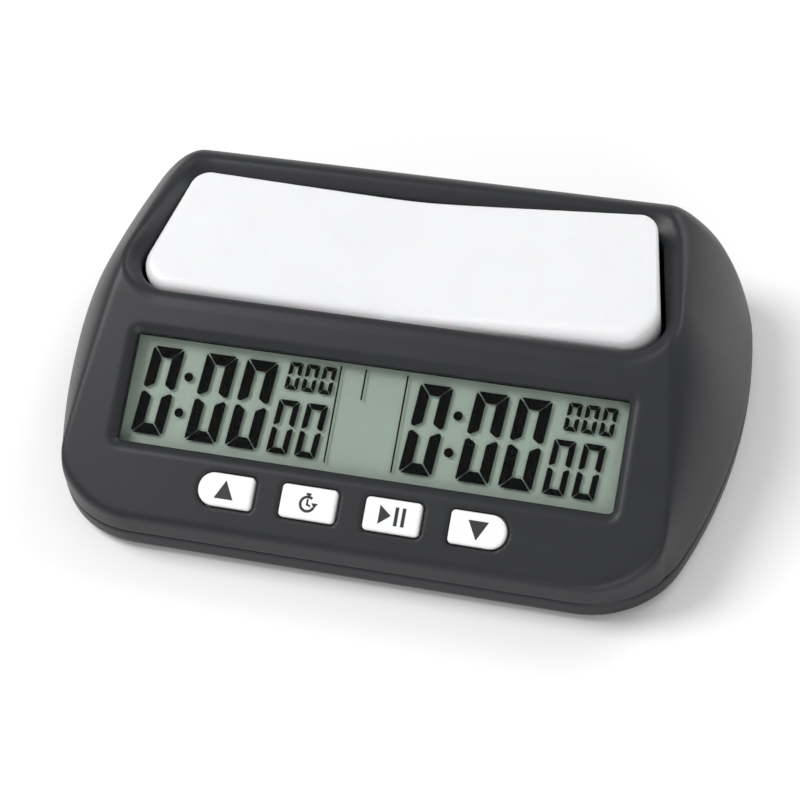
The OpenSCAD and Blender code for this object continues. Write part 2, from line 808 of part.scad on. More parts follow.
module battery_lead_red() {
  color("#c0201c") battery_lead(1);
}

module battery_lead_black() {
  color("#181818") battery_lead(-1);
}

module buzzer_leads() {
  color("#b8bcc4") for (k = [0, 1])
    lead([[buzzer_x + 4.4 * k, buzzer_s, buzzer_z + 0.75],
      [buzzer_x + 4.4 * k, buzzer_s + 1, 8], [buzzer_x + 1 + 3 * k, buzzer_s + 4, 12],
      [buzzer_x + 1 + 3 * k, buzzer_s + 4.9, 14.6]]);
}

module switch_leads() {
  color("#d8c030") for (k = [-1 : 1])
    let (x = finger_x + 2.5 * k)
      lead([[x, switch_board_s - 0.02, 6], [x, 46.5, 6], [x, 42, 5], [x, 36, 7], [x, 31.5, 11.5],
        [x, 30.7, 15.5]]);
}

upper_housing();
base_shell();
battery_door();
rocker();
rocker_axle();
bumper_pads();
display_lens();
display_gasket();
front_polarizer();
lcd_front_glass();
lcd_rear_glass();
lcd_reflector();
lcd_holder();
zebra_strip();
main_board();
controller_blob();
crystal();
capacitors();
resistors();
key_up();
key_mode();
key_play_pause();
key_down();
keypad();
board_screws();
housing_screws();
rubber_feet();
battery_cell();
battery_spring();
negative_contact();
positive_contact();
buzzer_disc();
buzzer_ceramic();
switch_board();
switch_body();
switch_slider();
battery_lead_red();
battery_lead_black();
buzzer_leads();
switch_leads();
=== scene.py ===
"""Looks for the digital chess clock.

The shells, the rocker and the keys are grown from distance fields: each shape is a formula that is
negative inside, edges are rounded where formulas meet, and surface_nets() turns the result into a
mesh. Fields are written in millimetres in the part's frame and meshes are made in metres.

In names and comments, s is the distance back from the front of the clock. On the sloping panel, u runs
to the right, v up the slope and w out of the panel.
"""

import json
import math

import bmesh
import bpy
import numpy as np
from mathutils import Matrix, Vector


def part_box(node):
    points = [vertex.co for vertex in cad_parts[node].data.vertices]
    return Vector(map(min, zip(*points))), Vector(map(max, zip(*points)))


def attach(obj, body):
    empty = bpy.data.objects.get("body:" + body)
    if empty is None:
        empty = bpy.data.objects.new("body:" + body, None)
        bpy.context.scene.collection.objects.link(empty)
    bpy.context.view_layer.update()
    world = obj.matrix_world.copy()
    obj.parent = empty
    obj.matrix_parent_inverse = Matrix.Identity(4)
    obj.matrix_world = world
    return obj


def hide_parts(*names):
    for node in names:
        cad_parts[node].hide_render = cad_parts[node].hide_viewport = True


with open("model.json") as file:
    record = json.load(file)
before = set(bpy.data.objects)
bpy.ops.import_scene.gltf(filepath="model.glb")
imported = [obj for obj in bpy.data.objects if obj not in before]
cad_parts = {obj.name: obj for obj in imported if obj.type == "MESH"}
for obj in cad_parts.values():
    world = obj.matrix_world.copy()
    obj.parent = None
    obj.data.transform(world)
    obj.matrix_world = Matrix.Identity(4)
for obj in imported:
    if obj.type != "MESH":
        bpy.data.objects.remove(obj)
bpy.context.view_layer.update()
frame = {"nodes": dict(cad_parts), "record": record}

MM = 0.001


def box_mm(node):
    """Lowest and highest corner of a CAD node, in millimetres."""
    low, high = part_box(node)
    return np.array(low) / MM, np.array(high) / MM


# ---- dimensions, in millimetres ----

housing_low, housing_high = box_mm("upper_housing")
base_low, base_high = box_mm("base_shell")
door_low, door_high = box_mm("battery_door")

BODY_W = housing_high[0] - housing_low[0]
BODY_D = housing_high[1] - housing_low[1]
FRONT_Y = housing_low[1]
SEAM_Z = housing_low[2]
FOOT_H = base_low[2]
WALL = 2.2
FLOOR_Z = FOOT_H + 2.4
SIDE_R = 110.0
SIDE_MID = 49.0
FRONT_R = 18.5
REAR_R = 20.5
PANEL_TILT = math.radians(27)
PANEL_FRONT_Z = 10.1
CREST_AT = 43.2
CREST_BLEND = 6.0
CREST_TILT = math.radians(-3.4)
FLAT_HALF = 57.5
FLAT_TAPER = 0.157
SHOULDER = 1.35
SHOULDER_SOFT = 0.1
SHOULDER_SPAN = math.hypot(1, SHOULDER_SOFT) - SHOULDER_SOFT
REAR_ROLL = 10.0
RIM_LIP = 0.8
RIM_Z = SEAM_Z + RIM_LIP

# Trapeziums with round corners: front, rear, half width at each, corner radius at each.
WELL = (36.3, 71.8, 53.1, 50.4, 9.5, 8.0)
ROCKER_PLAN = (40.1, 68.2, 50.3, 44.9, 6.4, 4.0)
ROCKER_GAP = 0.8
WELL_FLOOR_Z = 28.3
COLLAR_T = 1.6
COLLAR_Z = 21.0

ROCKER_TOP_Z = 28.5
ROCKER_MID_Y = 54 + FRONT_Y
ROCKER_PITCH = math.radians(5)
ROCKER_REST = math.radians(-1.8)
ROCKER_SIDE = 1.6
ROCKER_SKIN = 2.0
SKIRT_Z = 22.5
WING_RISE = 0.0695
BEND_HALF = 6.0
AXLE_Z = 24.0
AXLE_R = 1.25
PAD_X, PAD_Y = 42.0, 60 + FRONT_Y
PAD_POST_R = 2.0
HUB_R, HUB_S = 2.7, (40.6, 67.5)
HUB_RIB_HALF, HUB_RIB_S, HUB_RIB_TOP = 1.0, (41.1, 67.1), 29.0
FINGER_X, FINGER_Y = 34.0, 42 + FRONT_Y
FINGER_HALF, FINGER_T, FINGER_END_Z = 2.6, 1.8, 12.2
SLOT_HALF, SLOT_Z = 1.5, (13.15, 14.85)

WINDOW_W, WINDOW_H, WINDOW_V = 92.0, 20.4, 14.0
RECESS_DEPTH, RECESS_WALL, RECESS_LIP = 1.4, 1.5, 0.3
LENS_MARGIN = 2.0
LCD_DEPTH = 3.15
LCD_SLANT = 0.078
BIG_BAR, BIG_V = 2.05, 24.45
# For each player: where the digits start, and how far over and how high the small ones are.
LCD_GROUPS = ((-40.95, 0.3, 30.75), (10.35, 1.05, 30.5))
# Dividing lines: where each one is and where it starts.
LCD_LINES = ((-7.2, 15.75), (5.35, 15.75), (-2.5, 28.1))
LCD_LINE_TOP, LCD_LINE_HALF = 33.8, 0.15
KEY_W, KEY_H, KEY_V, KEY_PITCH = 10.3, 6.1, 4.5, 15.6
KEY_PROUD = 0.8
KEY_GAP = 0.25
KEY_ROOM_W, KEY_ROOM_H = 2.4, 1.5
KEY_STEM_R, KEY_STEM_D = 1.6, 5.0
FLANGE_OUT_U, FLANGE_OUT_V, FLANGE_TOP_D, FLANGE_UNDER_D = 0.9, 0.45, 2.35, 3.15
KEYS = ["key_up", "key_mode", "key_play_pause", "key_down"]

BOSSES = [(sx * x, s + FRONT_Y) for sx in (-1, 1) for x, s in ((56, 20), (54.5, 68))]
EARS = [(sx * 51.0, v) for sx in (-1, 1) for v in (8.0, 33.0)]
FEET = [(sx * x, s + FRONT_Y) for sx in (-1, 1) for x, s in ((40, 9), (44, 73))]
BUZZER = (-24.0, 24 + FRONT_Y)

BOSS_R, PILOT_R, PILOT_TOP_Z = 2.8, 1.25, 13.5
SCREW_HOLE_R, HEAD_R, HEAD_DEPTH = 1.5, 2.6, 1.9
EAR_R, EAR_D = 2.0, 7.0
AXLE_SEAT_S = (37.9, 70.2)
LIP_GAP, LIP_T, LIP_H = 0.4, 1.0, 1.5
BAY_HALF, BAY_S, BAY_TOP_Z, BAY_WALL = 28.4, (54.3, 69.7), 17.9, 1.2
DOORWAY_HALF, DOOR_T, TONGUE_W, TONGUE_T = 28.7, 1.5, 1.2, 0.8
BEHIND_Y = 60.0
GRIPS, GRIP_FIRST_S, GRIP_PITCH, GRIP_R, GRIP_HALF = 5, 71.4, 1.8, 0.55, 9.0
FOOT_R, FOOT_POCKET = 4.6, 0.55
PAD_SEAT_R = 2.8
GUIDE_X, GUIDE_Y, GUIDE_TOP_Z = 1.2, 1.9, 15.4
CONTACT_X, CONTACT_S, CONTACT_Z = 26.7, (52.3, 55.3), (13.7, 16.3)
SEAT_R, SEAT_TOP_Z, BORE_R, LEDGE_R, LEDGE_Z = 11.3, 6.2, 8.8, 10.1, 4.6
SOUND_HOLES, SOUND_RING_R, SOUND_HOLE_R = 6, 4.0, 0.8

STEP_SHELL = 0.4
STEP_ROCKER = 0.34
STEP_KEY = 0.12
MOST_TRIANGLES = 190_000


# ---- distance fields ----


def smooth_max(a, b, r):
    """The larger of two fields, with the edge between them rounded over about r."""
    r = np.maximum(r, 1e-6)
    h = np.maximum(r - np.abs(a - b), 0) / r
    return np.maximum(a, b) + h * h * r * 0.25


def smooth_min(a, b, r):
    return -smooth_max(-a, -b, r)


def cut(a, b, r=0.2):
    """Field a with the shape b taken out of it."""
    return smooth_max(a, -b, r)


def polygon_distance(px, py, points):
    """Signed distance to a closed polygon, negative inside."""
    best = np.full(px.shape, 1e9)
    inside = np.zeros(px.shape, bool)
    for (ax, ay), (bx, by) in zip(points, np.roll(points, -1, axis=0)):
        ex, ey = bx - ax, by - ay
        t = np.clip(((px - ax) * ex + (py - ay) * ey) / (ex * ex + ey * ey), 0, 1)
        best = np.minimum(best, (px - ax - ex * t) ** 2 + (py - ay - ey * t) ** 2)
        if ay != by:
            inside ^= ((ay > py) != (by > py)) & (px < ex * (py - ay) / ey + ax)
    return np.where(inside, -1.0, 1.0) * np.sqrt(best)


def rounded_box_2d(u, v, w, h, r, r_right=None):
    """Rounded rectangle about the origin; the right-hand corners may have their own radius."""
    if r_right is not None:
        r = np.where(u > 0, r_right, r)
    qu, qv = np.abs(u) - w / 2 + r, np.abs(v) - h / 2 + r
    return np.minimum(np.maximum(qu, qv), 0) + np.hypot(np.maximum(qu, 0), np.maximum(qv, 0)) - r


def box_field(x, y, z, low, high, r=0.0):
    """Box between two corners, its edges rounded over r."""
    parts = [smooth_max(low[k] - c, c - high[k], 0) for k, c in enumerate((x, y, z))]
    return smooth_max(smooth_max(parts[0], parts[1], r), parts[2], r)


def upright(x, y, z, spots, radius, z0, z1, r=0.0):
    """Upright cylinders at several spots."""
    field = None
    for sx, sy in spots:
        one = smooth_max(np.hypot(x - sx, y - sy) - radius, np.maximum(z0 - z, z - z1), r)
        field = one if field is None else np.minimum(field, one)
    return field


def slab(z, z0, z1):
    return np.maximum(z0 - z, z - z1)


# ---- the clock's own curves ----

SIDE_C = BODY_W / 2 - SIDE_R
FRONT_CX = SIDE_C + math.sqrt((SIDE_R - FRONT_R) ** 2 - (FRONT_R - SIDE_MID) ** 2)
REAR_CS = BODY_D - REAR_R
REAR_CX = SIDE_C + math.sqrt((SIDE_R - REAR_R) ** 2 - (REAR_CS - SIDE_MID) ** 2)
FRONT_JOIN = math.atan2(FRONT_R - SIDE_MID, FRONT_CX - SIDE_C)
REAR_JOIN = math.atan2(REAR_CS - SIDE_MID, REAR_CX - SIDE_C)


def arc(cx, cy, r, a0, a1, n):
    return [(cx + r * math.cos(a0 + (a1 - a0) * k / n), cy + r * math.sin(a0 + (a1 - a0) * k / n))
            for k in range(n + 1)]


def mirrored(right):
    """Closed outline from its right half, listed from front to back."""
    return np.array(right + [(-x, y) for x, y in reversed(right)])


def body_outline():
    """Plan outline: front corner, bulging side and rear corner as arcs that meet smoothly."""
    right = arc(FRONT_CX, FRONT_Y + FRONT_R, FRONT_R, -math.pi / 2, FRONT_JOIN, 32)
    right += arc(SIDE_C, FRONT_Y + SIDE_MID, SIDE_R, FRONT_JOIN, REAR_JOIN, 24)[1:]
    right += arc(REAR_CX, FRONT_Y + REAR_CS, REAR_R, REAR_JOIN, math.pi / 2, 32)[1:]
    return mirrored(right)


def plan_outline(plan):
    """Outline of a trapezium with round corners."""
    front, rear, half_front, half_rear, r_front, r_rear = plan
    lean = math.atan2(half_front - half_rear, rear - front)
    front_x = half_front - r_front * (math.tan(lean) + 1 / math.cos(lean))
    rear_x = half_rear + r_rear * (math.tan(lean) - 1 / math.cos(lean))
    right = arc(front_x, FRONT_Y + front + r_front, r_front, -math.pi / 2, lean, 28)
    right += arc(rear_x, FRONT_Y + rear - r_rear, r_rear, lean, math.pi / 2, 28)
    return mirrored(right)


def ridge_z(s):
    """Height of the top along the middle of the clock."""
    u = s - CREST_AT
    turn = math.tan(CREST_TILT) - math.tan(PANEL_TILT)
    bent = (u + CREST_BLEND) ** 2 / (4 * CREST_BLEND)
    blend = np.where(u < -CREST_BLEND, 0, np.where(u > CREST_BLEND, u, bent))
    return PANEL_FRONT_Z + s * math.tan(PANEL_TILT) + turn * blend


def top_shape(x, y, inset=0.0, drop=0.0):
    """How high the top stands over its rim, how far out it is on the shoulder, and the shoulder's width.

    The second value is 0 where the shoulder starts and 1 at the edge of the housing. The skin may be
    moved in by inset and down by drop.
    """
    s = np.clip(y - FRONT_Y, 0, BODY_D)
    edge = SIDE_C + np.sqrt(SIDE_R ** 2 - (s - SIDE_MID) ** 2) - inset
    flat = FLAT_HALF - FLAT_TAPER * s
    width = np.maximum(edge - flat, 1)
    b = np.clip((s - BODY_D + REAR_ROLL) / (REAR_ROLL - inset), 0, 1)
    crown = (ridge_z(s) - drop - RIM_Z) * np.sqrt(1 - b * b)
    return crown, (np.abs(x) - flat) / width, width


def roof(x, y, z, inset=0.0, drop=0.0):
    """Roughly the distance above the top surface, and the height of that surface."""
    crown, out, width = top_shape(x, y, inset, drop)
    soft = (np.hypot(np.clip(out, 0, 1), SHOULDER_SOFT) - SHOULDER_SOFT) / SHOULDER_SPAN
    t = np.minimum(soft, 1)
    height = RIM_Z + crown * (1 - t ** SHOULDER) ** (1 / SHOULDER)
    gx, gy = np.gradient(height, x[1, 0] - x[0, 0], y[0, 1] - y[0, 0])
    slope_y = 1 + np.minimum(gy ** 2, 60)[:, :, None]
    steep = np.sqrt(1 + np.minimum(gx ** 2 + gy ** 2, 60))[:, :, None]
    rise = z - height[:, :, None]
    part = np.clip((z - RIM_Z) / np.maximum(crown, 0.1)[:1, :, None], 0, 1)
    reach = (1 - part ** SHOULDER) ** (1 / SHOULDER)
    across = (np.where(out > 0, t, out)[:, :, None] - reach) * width[:, :, None]
    level = rise * np.abs(across) / np.sqrt(rise ** 2 + across ** 2 * slope_y + 1e-9)
    return np.where((part < 1) & (rise * across > 0), level, rise / steep), height


def to_panel(y, z):
    """Distance up the panel's slope and height above its surface."""
    dy, dz = y - FRONT_Y, z - PANEL_FRONT_Z
    c, s = math.cos(PANEL_TILT), math.sin(PANEL_TILT)
    return dy * c + dz * s, dz * c - dy * s


PANEL_MATRIX = (Matrix.Translation(Vector((0, FRONT_Y, PANEL_FRONT_Z)) * MM)
                @ Matrix.Rotation(PANEL_TILT, 4, "X"))


def key_x(k):
    return (k - 1.5) * KEY_PITCH


def key_outline(k, u, v, grow=0.0):
    """Outline of key k about its middle; the outer end of the first and the last one is round."""
    small, large = 0.8 + grow, KEY_H * 0.48 + grow
    left, right = (large if k == 0 else small), (large if k == 3 else small)
    return rounded_box_2d(u, v, KEY_W + 2 * grow, KEY_H + 2 * grow, left, right)


# ---- meshing ----

CORNERS = [(i, j, k) for i in (0, 1) for j in (0, 1) for k in (0, 1)]
EDGES = [(a, b) for a in range(8) for b in range(a + 1, 8)
         if sum(p != q for p, q in zip(CORNERS[a], CORNERS[b])) == 1]


def surface_nets(field, low, step):
    """Vertices and quads of the surface where the field is zero."""
    inside = field < 0
    full = inside[:-1, :-1, :-1].copy()
    any_in = full.copy()
    for i, j, k in CORNERS[1:]:
        corner = inside[i:i + full.shape[0], j:j + full.shape[1], k:k + full.shape[2]]
        full &= corner
        any_in |= corner
    cells = np.argwhere(any_in & ~full)
    number = np.full(full.shape, -1, np.int64)
    number[tuple(cells.T)] = np.arange(len(cells))
    values = [field[tuple((cells + np.array(c)).T)] for c in CORNERS]
    total = np.zeros((len(cells), 3))
    count = np.zeros(len(cells))
    for a, b in EDGES:
        fa, fb = values[a], values[b]
        hit = (fa < 0) != (fb < 0)
        t = np.where(hit, fa / np.where(hit, fa - fb, 1), 0)
        point = np.array(CORNERS[a]) + t[:, None] * (np.array(CORNERS[b]) - np.array(CORNERS[a]))
        total += point * hit[:, None]
        count += hit
    verts = np.array(low) + step * (cells + total / count[:, None])
    quads = []
    for axis in range(3):
        p, q = (axis + 1) % 3, (axis + 2) % 3
        first = np.moveaxis(inside, axis, 0)
        change = np.moveaxis(first[:-1] != first[1:], 0, axis)
        at = np.argwhere(change)
        keep = (at[:, p] > 0) & (at[:, q] > 0) & (at[:, p] < full.shape[p]) & (at[:, q] < full.shape[q])
        at = at[keep]
        ring = []
        for dp, dq in ((-1, -1), (0, -1), (0, 0), (-1, 0)):
            c = at.copy()
            c[:, p] += dp
            c[:, q] += dq
            ring.append(number[tuple(c.T)])
        ring = np.stack(ring, 1)
        outward = inside[tuple(at.T)]
        quads.append(np.where(outward[:, None], ring, ring[:, ::-1]))
    return verts, np.concatenate(quads)


def relax(verts, quads, rounds):
    """Evens out the net without shrinking it."""
    a = np.concatenate([quads[:, k] for k in range(4)])
    b = np.concatenate([quads[:, (k + 1) % 4] for k in range(4)])
    degree = np.bincount(a, minlength=len(verts)) + np.bincount(b, minlength=len(verts))
    degree = np.maximum(degree, 1)
    for _ in range(rounds):
        for weight in (0.5, -0.53):
            total = [np.bincount(a, verts[b, d], len(verts)) + np.bincount(b, verts[a, d], len(verts))
                     for d in range(3)]
            verts = verts + weight * (np.stack(total, 1) / degree[:, None] - verts)
    return verts


def add_object(name, mesh, material):
    obj = bpy.data.objects.new(name, mesh)
    bpy.context.scene.collection.objects.link(obj)
    mesh.materials.append(material)
    return obj


def grown(name, low, high, step, field, material, body, matrix=None, rounds=2):
    """A piece grown from a field given over a box in millimetres."""
    low = np.array(low, float) - 2.3 * step
    counts = [int((high[k] + 2.3 * step - low[k]) / step) + 1 for k in range(3)]
    axes = [low[k] + step * np.arange(counts[k]) for k in range(3)]
    x, y = np.meshgrid(axes[0], axes[1], indexing="ij")
    z = axes[2][None, None, :]
    verts, quads = surface_nets(field(x, y, z), low, step)
    verts = relax(verts, quads, rounds)
    mesh = bpy.data.meshes.new(name)
    mesh.vertices.add(len(verts))
    mesh.vertices.foreach_set("co", (verts * MM).astype(np.float32).ravel())
    mesh.loops.add(quads.size)
    mesh.loops.foreach_set("vertex_index", quads.astype(np.int32).ravel())
    mesh.polygons.add(len(quads))
    mesh.polygons.foreach_set("loop_start", np.arange(0, quads.size, 4, dtype=np.int32))
    mesh.polygons.foreach_set("use_smooth", np.ones(len(quads), bool))
    mesh.update(calc_edges=True)
    mesh.validate()
    if matrix is not None:
        mesh.transform(matrix)
    obj = add_object(name, mesh, material)
    if 2 * len(quads) > MOST_TRIANGLES:
        thin = obj.modifiers.new("thin", "DECIMATE")
        thin.ratio = MOST_TRIANGLES / (2 * len(quads))
        bpy.context.view_layer.update()
        evaluated = obj.evaluated_get(bpy.context.evaluated_depsgraph_get())
        obj.data = bpy.data.meshes.new_from_object(evaluated)
        obj.modifiers.clear()
        obj.data.shade_smooth()
    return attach(obj, body)


# ---- materials ----


def link(tree, a, out, b, into):
    tree.links.new(a.outputs[out], b.inputs[into])


def noise(tree, coords, scale, detail=3.0):
    node = tree.nodes.new("ShaderNodeTexNoise")
    node.inputs["Scale"].default_value = scale
    node.inputs["Detail"].default_value = detail
    link(tree, coords, "Object", node, "Vector")
    return node


def spread(tree, source, out, low, high):
    node = tree.nodes.new("ShaderNodeMapRange")
    node.inputs["From Min"].default_value = 0.3
    node.inputs["From Max"].default_value = 0.7
    node.inputs["To Min"].default_value = low
    node.inputs["To Max"].default_value = high
    link(tree, source, out, node, "Value")
    return node


def finish(name, colour, roughness, vary=0.06, cloud=120.0, grain=2200.0, bump=0.12, painted_edge_highlight=0.0,
           painted_edge_highlight_colour=(0.5, 0.5, 0.5), metallic=0.0, coat=0.0, alpha=1.0, sheen=0.0, subsurface=0.0,
           gloss=0.5):
    """Procedural finish: soft colour clouds, uneven roughness, fine grain and painted edge highlights."""
    material = bpy.data.materials.new(name)
    material.use_nodes = True
    tree = material.node_tree
    shader = tree.nodes["Principled BSDF"]
    coords = tree.nodes.new("ShaderNodeTexCoord")
    clouds = noise(tree, coords, cloud)
    fine = noise(tree, coords, grain, 5.0)
    base = tree.nodes.new("ShaderNodeMix")
    base.data_type = "RGBA"
    base.inputs["A"].default_value = (*[c * (1 - vary) for c in colour], 1)
    base.inputs["B"].default_value = (*[min(1, c * (1 + vary)) for c in colour], 1)
    link(tree, spread(tree, clouds, "Fac", 0, 1), "Result", base, "Factor")
    last = base
    # Painted highlight: convex edges, found by pointiness, are mixed toward a lighter colour to stand in
    # for light catching them.
    if painted_edge_highlight > 0:
        geometry = tree.nodes.new("ShaderNodeNewGeometry")
        edge = tree.nodes.new("ShaderNodeMapRange")
        edge.inputs["From Min"].default_value = 0.55
        edge.inputs["From Max"].default_value = 0.65
        edge.inputs["To Max"].default_value = painted_edge_highlight
        link(tree, geometry, "Pointiness", edge, "Value")
        last = tree.nodes.new("ShaderNodeMix")
        last.data_type = "RGBA"
        last.inputs["B"].default_value = (*painted_edge_highlight_colour, 1)
        link(tree, edge, "Result", last, "Factor")
        tree.links.new(base.outputs["Result"], last.inputs["A"])
    tree.links.new(last.outputs["Result"], shader.inputs["Base Color"])
    uneven = spread(tree, fine, "Fac", roughness * 0.88, min(1, roughness * 1.12))
    link(tree, uneven, "Result", shader, "Roughness")
    if bump > 0:
        relief = tree.nodes.new("ShaderNodeBump")
        relief.inputs["Strength"].default_value = bump
        relief.inputs["Distance"].default_value = 0.00006
        link(tree, fine, "Fac", relief, "Height")
        link(tree, relief, "Normal", shader, "Normal")
    shader.inputs["Metallic"].default_value = metallic
    shader.inputs["Specular IOR Level"].default_value = gloss
    shader.inputs["Coat Weight"].default_value = coat
    shader.inputs["Coat Roughness"].default_value = 0.2
    shader.inputs["Alpha"].default_value = alpha
    shader.inputs["Sheen Weight"].default_value = sheen
    shader.inputs["Subsurface Weight"].default_value = subsurface
    shader.inputs["Subsurface Scale"].default_value = 0.002
    return material


def make_materials():
    plain = {
        # The housing's lighter convex edges are a painted highlight.
        "housing": dict(colour=(0.0200, 0.0209, 0.0236), roughness=0.42, gloss=0.32, vary=0.04,
                        grain=3200.0, bump=0.09, painted_edge_highlight=0.04, painted_edge_highlight_colour=(0.10, 0.10, 0.105)),
        "rocker_white": dict(colour=(0.80, 0.803, 0.822), roughness=0.33, vary=0.012, bump=0.04,
                             subsurface=0.35),
        "key_white": dict(colour=(0.9, 0.9, 0.905), roughness=0.3, vary=0.01, bump=0.03,
                          subsurface=0.1),
        "clear_lens": dict(colour=(0.03, 0.032, 0.032), roughness=0.12, vary=0.01, bump=0.0, alpha=0.04,
                           gloss=0.05),
        "lcd_glass": dict(colour=(0.03, 0.034, 0.032), roughness=0.15, vary=0.01, bump=0.0, alpha=0.02,
                          gloss=0.05),
        "polarizer": dict(colour=(0.03, 0.034, 0.031), roughness=0.3, vary=0.02, bump=0.0, alpha=0.03,
                          gloss=0.05),
        "reflector": dict(colour=(0.40, 0.50, 0.42), roughness=0.5, vary=0.02, grain=5000.0, bump=0.08),
        "frame_plastic": dict(colour=(0.72, 0.72, 0.70), roughness=0.5, vary=0.03),
        "zebra_rubber": dict(colour=(0.10, 0.10, 0.11), roughness=0.7, vary=0.2, cloud=900.0),
        "circuit_board": dict(colour=(0.02, 0.16, 0.06), roughness=0.4, vary=0.15, cloud=600.0,
                              coat=0.4),
        "epoxy": dict(colour=(0.012, 0.012, 0.012), roughness=0.25, vary=0.1),
        "component_tan": dict(colour=(0.42, 0.28, 0.15), roughness=0.5, vary=0.1),
        "component_black": dict(colour=(0.02, 0.02, 0.02), roughness=0.45, vary=0.1),
        "silicone": dict(colour=(0.55, 0.56, 0.58), roughness=0.55, vary=0.04, subsurface=0.3),
        "rubber": dict(colour=(0.025, 0.025, 0.026), roughness=0.75, vary=0.15, bump=0.35, sheen=0.2),
        "steel": dict(colour=(0.58, 0.58, 0.59), roughness=0.32, vary=0.06, metallic=1.0),
        "spring_steel": dict(colour=(0.68, 0.68, 0.68), roughness=0.2, vary=0.04, metallic=1.0),
        "cell_wrap": dict(colour=(0.04, 0.13, 0.32), roughness=0.3, vary=0.05, coat=0.3),
        "brass_disc": dict(colour=(0.72, 0.52, 0.22), roughness=0.3, vary=0.06, metallic=1.0),
        "ceramic": dict(colour=(0.78, 0.76, 0.70), roughness=0.4, vary=0.04),
        "wire_red": dict(colour=(0.45, 0.02, 0.015), roughness=0.45, vary=0.06),
        "wire_black": dict(colour=(0.015, 0.015, 0.015), roughness=0.45, vary=0.06),
        "wire_grey": dict(colour=(0.42, 0.43, 0.46), roughness=0.45, vary=0.06),
        "wire_yellow": dict(colour=(0.60, 0.45, 0.03), roughness=0.45, vary=0.06),
        "print_black": dict(colour=(0.018, 0.018, 0.018), roughness=0.55, vary=0.05, bump=0.0),
        "lcd_black": dict(colour=(0.004, 0.004, 0.004), roughness=0.9, vary=0.05, bump=0.0, gloss=0.0),
    }
    return {name: finish(name, **values) for name, values in plain.items()}


MATERIALS = make_materials()


def dress_cad_nodes():
    """Gives every carried-over CAD node the procedural finish of its slot."""
    for part in frame["record"]["subparts"]:
        node = frame["nodes"][part["node"]]
        node.data.materials.clear()
        node.data.materials.append(MATERIALS[part["material_slot"]])


# ---- pieces ----


def panel_coordinates(x, y, z):
    v, w = to_panel(y[:, :, None], z)
    return x[:, :, None], v, w


def housing_field(x, y, z):
    """Upper housing: a shell with the rocker's well, the window, the key holes and the screw bosses."""
    outline = polygon_distance(x, y, body_outline())
    well = polygon_distance(x, y, plan_outline(WELL))
    opening = polygon_distance(x, y, plan_outline(ROCKER_PLAN)) - ROCKER_GAP
    top, height = roof(x, y, z)
    ceiling, _ = roof(x, y, z, WALL, WALL / math.cos(PANEL_TILT))
    side = outline[:, :, None]
    corner_r = np.clip(0.25 * (height - RIM_Z), 0.4, 3.0)[:, :, None]
    body = smooth_max(smooth_max(top, side, corner_r), SEAM_Z - z, 0.5)
    x3, v, w = panel_coordinates(x, y, z)
    y3 = y[:, :, None]
    well3, opening3 = well[:, :, None], opening[:, :, None]
    cavity = smooth_max(ceiling, side + WALL, 1.0)
    cavity = cut(cavity, np.maximum(opening3 - COLLAR_T, COLLAR_Z - z), 0.8)
    cavity = cut(cavity, upright(x3, y3, z, BOSSES, BOSS_R, SEAM_Z - 3, 60), 0.4)
    for ear_x, ear_v in EARS:
        post = np.hypot(x3 - ear_x, v - ear_v) - EAR_R
        cavity = cut(cavity, np.maximum(post, -EAR_D - w), 0.3)
    body = cut(body, cavity, 0.2)
    across = np.clip(-well / np.maximum(np.maximum(opening, 0) - well, 0.1), 0, 1)
    slope = height + (WELL_FLOOR_Z - height) * across
    funnel = smooth_max(well3, slope[:, :, None] - z, 0.3)
    body = cut(body, funnel, 0.55)
    body = cut(body, np.maximum(opening3, COLLAR_Z - 2 - z), 0.6)
    window_v = v - WINDOW_V - WINDOW_H / 2
    window = rounded_box_2d(x3, window_v, WINDOW_W, WINDOW_H, 0.8)
    pitch = RECESS_WALL / (RECESS_DEPTH - RECESS_LIP)
    bevel = (window - (w + RECESS_DEPTH - RECESS_LIP) * pitch) / math.hypot(1, pitch)
    body = cut(body, np.maximum(bevel, RECESS_LIP - RECESS_DEPTH - w), 0.35)
    body = cut(body, np.maximum(window, slab(w, -6, -1)), 0.15)
    pocket_w, pocket_h = [size + 2 * LENS_MARGIN + 0.2 for size in (WINDOW_W, WINDOW_H)]
    pocket = rounded_box_2d(x3, window_v, pocket_w, pocket_h, 0.1)
    body = cut(body, np.maximum(pocket, slab(w, -6, -RECESS_DEPTH)), 0.05)
    for k in range(len(KEYS)):
        key_u, key_v = x3 - key_x(k), v - KEY_V - KEY_H / 2
        body = cut(body, np.maximum(key_outline(k, key_u, key_v, KEY_GAP), -6 - w), 0.3)
        room = rounded_box_2d(key_u, key_v, KEY_W + KEY_ROOM_W, KEY_H + KEY_ROOM_H, 0.5)
        body = cut(body, np.maximum(room, slab(w, -8, -WALL)), 0.1)
    body = cut(body, upright(x3, y3, z, BOSSES, PILOT_R, SEAM_Z - 3, PILOT_TOP_Z), 0.1)
    seat_from, seat_to = [s + FRONT_Y for s in AXLE_SEAT_S]
    axle = np.maximum(np.hypot(x3, z - AXLE_Z) - AXLE_R, slab(y3, seat_from, seat_to))
    return cut(body, axle, 0.05)


